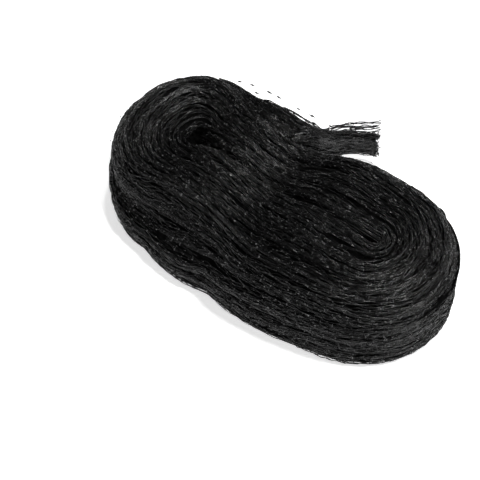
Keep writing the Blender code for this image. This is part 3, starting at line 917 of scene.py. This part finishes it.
def bridge_twines():
    """Twines that run from the coil's shoulder over the hollow beside it and into the loose end."""
    rng = np.random.default_rng(63)
    first_step = round(FLANK[-1][0] * LAP_STEPS)
    edges = []
    for k in range(len(SECTIONS)):
        share = (first_step - min(k, FREE_FROM - 1)) / LAP_STEPS
        shoulder = at(SURFACE, np.array([BRIDGE_ROW]), np.array([share]))[0]
        part = min(1, max(0, (k - FREE_FROM + 5) / 5))
        valley = at(SURFACE, np.array([BRIDGE_ROW + 8]), np.array([share]))[0]
        low = valley * (1 - part) + SECTIONS[k, CROWN_AT - 5] * part
        edges.append((low, shoulder * (1 - part) + SECTIONS[k, CROWN_AT - 1] * part, SECTIONS[k, CROWN_AT + 1]))
    edges = np.array(edges)
    steps, count = 34, BRIDGE_TWINES
    begin = TAIL_LENGTH * 0.62 * rng.uniform(0, 1, (count, 1))
    t = np.minimum(STEP * (steps - 1), TAIL_LENGTH - 0.001 - begin) * np.linspace(0, 1, steps)
    k = np.interp(begin + t, SECTION_AT, np.arange(len(SECTION_AT)))
    i = np.minimum(k.astype(int), len(SECTIONS) - 2)
    f = (k - i)[..., None, None]
    pair = edges[i] * (1 - f) + edges[i + 1] * f
    wave = np.sin(t * rng.uniform(250, 700, (count, 1)) + rng.uniform(0, 6, (count, 1)))
    across = np.where(rng.uniform(0, 1, (count, 1)) < 0.4, -1, 0) + rng.uniform(-0.05, 0.95, (count, 1))
    across = across + (0.20 + rng.normal(0, 0.3, (count, 1))) * t / TAIL_LENGTH
    across = np.clip(across + 0.05 * wave, -1.1, 1.15)[..., None]
    level = rng.uniform(-0.0020, 0.0006, (count, 1)) + 0.0003 * wave
    dive = 0.0024 * (np.clip(1 - t / 0.012, 0, 1) + np.clip((t - t[:, -1:]) / 0.012 + 1, 0, 1))
    below = np.where(across < 0, pair[:, :, 0], 2 * pair[:, :, 1] - pair[:, :, 2])
    p = pair[:, :, 1] + np.maximum(across, 0) * (pair[:, :, 2] - pair[:, :, 1])
    p = p + np.minimum(across, 0) * (pair[:, :, 1] - below)
    p[..., 2] += level - dive
    out = np.zeros_like(p) + (0.05, 0.25, 1.0)
    r = TWINE * rng.uniform(0.75, 1.15, (count, 1)) * rng.uniform(0.85, 1.1, (count, steps))
    knots = np.arange(2, steps - 2, 5)
    ahead = unit(np.gradient(p, axis=1))[:, knots].reshape(-1, 3)
    size = TWINE * KNOT * rng.uniform(0.75, 1.1, len(ahead))
    end_knots.append(beads(p[:, knots].reshape(-1, 3), ahead, out[:, knots].reshape(-1, 3), size))
    return add_mesh("net_end_bridge", *tubes(p, out, r, twists(count, steps, rng)))


end_bridge = finish_piece(bridge_twines(), twine_material, "loose_end", "wound_net")
end_twines = finish_piece(tail_strands("net_end_twines", END_UPPER, 61, False), twine_material, "loose_end")
end_knots_piece = finish_piece(
    add_mesh("net_end_knots", *join_parts(end_knots), smooth=False), knot_glint_material, "loose_end"
)
# The loose end's lower twines take the deep material's painted shade.
end_lower = finish_piece(tail_strands("net_end_lower", END_LOWER, 62, True), deep_shade_material, "loose_end")


def resample(points, step):
    """The same line with points a step apart, its corners rounded."""
    points = np.asarray(points)
    length = np.concatenate([[0], np.cumsum(np.linalg.norm(np.diff(points, axis=0), axis=1))])
    at_length = np.linspace(0, length[-1], max(4, round(length[-1] / step)))
    line = np.stack([np.interp(at_length, length, points[:, k]) for k in range(3)], axis=-1)
    for _ in range(6):
        line[1:-1] = (line[:-2] + 2 * line[1:-1] + line[2:]) / 4
    return line


def knotted(line, radius, gap, size, rng, phase=0.5, longer=1.6):
    """One tube along a line, with knots on it a gap apart."""
    line = np.asarray(line)[None]
    up = np.zeros_like(line) + (0.1, 0.15, 1.0)
    steps = line.shape[1]
    radii = radius * rng.uniform(0.85, 1.15, (1, steps))
    parts = [tubes(line, up, radii, twists(1, steps, rng))]
    length = np.concatenate([[0], np.cumsum(np.linalg.norm(np.diff(line[0], axis=0), axis=1))])
    places = np.arange(phase * gap, length[-1], gap)
    places = places + rng.uniform(-0.3, 0.3, len(places)) * gap
    if len(places):
        k = np.clip(np.searchsorted(length, places), 1, steps - 2)
        ahead = unit(line[0, k + 1] - line[0, k - 1])
        widths = size * rng.uniform(0.8, 1.2, len(k))
        parts.append(beads(line[0, k], ahead, up[0, k], widths, longer))
    return parts


def long_strands():
    """The separate strands above the loose end: along the flank's upper edge, then clear of the bunch."""
    rng = np.random.default_rng(71)
    places = np.linspace(0, 1, len(FREE))
    xs, ys, tops = (column(FREE, FREE_COLUMNS, name) for name in ("x", "y", "top"))
    heading = np.array((xs[-1] - xs[-2], ys[-1] - ys[-2], 0))
    heading = heading / np.linalg.norm(heading)
    side = np.array((-heading[1], heading[0], 0))
    parts = []
    for number, (start, shift, tip_height, reach) in enumerate(LONG_STRANDS + LOW_STRANDS):
        path = []
        for k in range(4 + number % 5, FREE_FROM + int(start * (len(FREE) - 1))):
            crown = SECTIONS[k, CROWN_AT : CROWN_AT + 3]
            outward = unit(crown[2] - crown[0]) * (1, 1, 0)
            rise = (STRAND_RISE if number in OUTER_STRANDS else 0.0003) - 0.0030 * max(0, 1 - len(path) / 2)
            path.append(crown[1 + number % 2] + outward * 0.6 * rise + (0, 0, rise))
        root = np.interp(start, places, tops) - 0.0010
        for part in np.linspace(0, 1, 6):
            along = start + (1 - start) * part
            x, y = np.interp(along, places, xs), np.interp(along, places, ys)
            level = root + (tip_height - root) * part
            path.append(np.array((x, y, level)) + side * shift * part + SHIFT)
        path.append(path[-1] + heading * reach)
        line = resample(path, STEP)
        t = np.linspace(0, 1, len(line))
        for twin in (-1, 0.1, 1):
            spread = 0.0005 * np.sin(2 * math.pi * (t * 4 + rng.uniform())) + 0.0016 * np.clip(t * 8 - 7, 0, 1)
            lift = 0.0005 * np.sin(2 * math.pi * (t * 5 + rng.uniform())) + rng.normal(0, 0.0005) * t
            strand = line + twin * spread[:, None] * side + lift[:, None] * np.array((0, 0, 1))
            parts += knotted(strand, STRAND, BAR * 0.55, STRAND * KNOT, rng, rng.uniform())
    return add_mesh("net_end_strands", *join_parts(parts))


STRAND_RISE = 0.0020
OUTER_STRANDS = (0, 3)  # these two stand clear of the flank's edge
STRAND = 0.00040
# Shorter loose strands that lie just over the bunch: start, side, height of the tip and reach.
LOW_STRANDS = (
    (0.50, -0.0015, 0.0300, 0.0035),
    (0.36, -0.0030, 0.0292, 0.0060),
)
# Thin threads that stand off the coil: points given by section, metres out and metres up, and knots.
STRAYS = (
    ((0.6, 0.0, -0.001), (2.2, 0.003, 0.002), (4.0, 0.005, 0.0055), (7.9, 0.005, 0.006), (11.4, 0.004, 0.0085), (13.6, 0.003, 0.0085), (15.4, 0.0, 0.004)),
    ((2.6, 0.0, -0.001), (4.2, 0.002, 0.003), (5.2, 0.0015, 0.0025), (6.6, 0.0, -0.001)),
    ((6.0, 0.0, -0.001), (8.2, 0.003, 0.004), (9.4, 0.002, 0.003), (12.2, 0.002, 0.005), (14.0, 0.001, 0.003), (14.8, 0.0, -0.001)),
)


def stray_threads():
    """Thin threads of loose mesh that stand off the flank's upper edge, seen mostly by their knots."""
    rng = np.random.default_rng(72)
    parts = []
    for anchors in STRAYS:
        path = []
        for place, out, rise in anchors:
            k = min(int(place), len(SECTIONS) - 2)
            f = place - k
            crown = SECTIONS[k, CROWN_AT : CROWN_AT + 3] * (1 - f) + SECTIONS[k + 1, CROWN_AT : CROWN_AT + 3] * f
            outward = unit((crown[2] - crown[0]) * (1, 1, 0))
            path.append(crown[1] + outward * out + np.array((0, 0, rise)))
        parts += knotted(resample(path, 0.0015), 0.00013, 0.0140, 0.00085, rng, rng.uniform(), 3.4)
    return add_mesh("net_end_strays", *join_parts(parts))


end_strands = finish_piece(long_strands(), twine_material, "loose_end")
end_strays = finish_piece(stray_threads(), twine_material, "loose_end")

# Loops that stand off the coil: share they start and end at, row, and how far they stand off.
LOOPS = (
    (0.492, 0.545, 60, 0.0030),
    (0.950, 1.010, 61, 0.0016),
    (0.180, 0.215, 59, 0.0015),
    (0.700, 0.760, 70, 0.0014),
    (0.845, 0.900, 78, 0.0013),
)


def loops():
    """Single threads that stand off the coil's edge in low loops."""
    rng = np.random.default_rng(73)
    parts = []
    for first, last, row, height in LOOPS:
        share = np.linspace(first, last, 30)
        rise = np.sin(np.linspace(0, math.pi, 30)) ** 0.7 * height - 0.0003
        rows = np.full(30, float(row))
        line = at(SURFACE, rows, share) + unit(at(NORMALS, rows, share)) * rise[:, None]
        parts += knotted(line, 0.00016, 0.011, 0.00045, rng, 0.8)
    return add_mesh("net_loops", *join_parts(parts))


finish_piece(loops(), twine_material, "wound_net")

# ---------------------------------------------------------------- floor, light and camera
FLOOR_GLOW = 0.68
WORLD_GLOW = 0.06
# Each light: name, azimuth and elevation it comes from, width in degrees, strength.
LIGHTS = (
    ("key", 110, 66, 6, 1.44),
    ("side", 85, 24, 6, 0.25),
    ("back", 195, 62, 6, 1.00),
    ("low_back", 225, 18, 6, 0.12),
    ("front", 0, 38, 6, 0.08),
)


def floor():
    mesh = bpy.data.meshes.new("floor")
    half = 30.0
    mesh.from_pydata([(-half, -half, 0), (half, -half, 0), (half, half, 0), (-half, half, 0)], [], [(0, 1, 2, 3)])
    made = bpy.data.objects.new("floor", mesh)
    bpy.context.scene.collection.objects.link(made)
    material = bpy.data.materials.new("pale_floor")
    material.use_nodes = True
    shader = material.node_tree.nodes["Principled BSDF"]
    shader.inputs["Base Color"].default_value = (0.93, 0.93, 0.93, 1)
    shader.inputs["Roughness"].default_value = 0.9
    shader.inputs["Emission Color"].default_value = (1, 1, 1, 1)
    shader.inputs["Emission Strength"].default_value = FLOOR_GLOW
    shader.inputs["Specular IOR Level"].default_value = 0.1
    mesh.materials.append(material)


floor()


def backdrop():
    """A white wall far behind, all round, that only the camera sees."""
    steps, reach, height = 96, 12.0, 7.0
    turn = 2 * math.pi * np.arange(steps) / steps
    ring = np.stack([reach * np.cos(turn), reach * np.sin(turn)], axis=-1)
    low = np.concatenate([ring, np.full((steps, 1), 0.0)], axis=1)
    high = np.concatenate([ring, np.full((steps, 1), height)], axis=1)
    number = np.arange(steps)
    after = (number + 1) % steps
    faces = np.stack([number, after, after + steps, number + steps], axis=-1)
    made = add_mesh("backdrop", np.concatenate([low, high]), [faces])
    material = bpy.data.materials.new("pale_backdrop")
    material.use_nodes = True
    shader = material.node_tree.nodes["Principled BSDF"]
    shader.inputs["Base Color"].default_value = (0.93, 0.93, 0.93, 1)
    shader.inputs["Roughness"].default_value = 0.9
    shader.inputs["Emission Color"].default_value = (1, 1, 1, 1)
    shader.inputs["Emission Strength"].default_value = 1.0
    made.data.materials.append(material)
    made.visible_diffuse = made.visible_glossy = made.visible_shadow = False


backdrop()


def soft_light(name, azimuth, elevation, width, strength):
    """Even light from one side of the studio, as wide as width in degrees."""
    data = bpy.data.lights.new(name, "SUN")
    data.angle = math.radians(width)
    data.energy = strength
    lamp = bpy.data.objects.new(name, data)
    bpy.context.scene.collection.objects.link(lamp)
    a, e = math.radians(azimuth), math.radians(elevation)
    toward = Vector((math.sin(a) * math.cos(e), -math.cos(a) * math.cos(e), math.sin(e)))
    lamp.rotation_mode = "QUATERNION"
    lamp.rotation_quaternion = toward.to_track_quat("Z", "Y")


for light in LIGHTS:
    soft_light(*light)

world = bpy.data.worlds.new("studio")
bpy.context.scene.world = world
world.use_nodes = True
world.node_tree.nodes["Background"].inputs["Color"].default_value = (1, 1, 1, 1)
world.node_tree.nodes["Background"].inputs["Strength"].default_value = WORLD_GLOW

CAMERA_PLACE = (0.31533, -0.41578, 0.61232)
CAMERA_AZIMUTH, CAMERA_ELEVATION, CAMERA_ROLL = (math.radians(a) for a in (41.019, 50.428, -2.526))
back = Vector(
    (
        math.sin(CAMERA_AZIMUTH) * math.cos(CAMERA_ELEVATION),
        -math.cos(CAMERA_AZIMUTH) * math.cos(CAMERA_ELEVATION),
        math.sin(CAMERA_ELEVATION),
    )
)
level_right = Vector((0, 0, 1)).cross(back).normalized()
level_up = back.cross(level_right)
right = math.cos(CAMERA_ROLL) * level_right + math.sin(CAMERA_ROLL) * level_up
up = -math.sin(CAMERA_ROLL) * level_right + math.cos(CAMERA_ROLL) * level_up
camera_data = bpy.data.cameras.new("camera")
camera_data.lens = 85
camera_data.sensor_width = 36
camera = bpy.data.objects.new("camera", camera_data)
bpy.context.scene.collection.objects.link(camera)
camera.matrix_world = Matrix.Translation(CAMERA_PLACE) @ Matrix((right, up, back)).transposed().to_4x4()
bpy.context.scene.camera = camera
bpy.context.scene.view_settings.view_transform = "Standard"
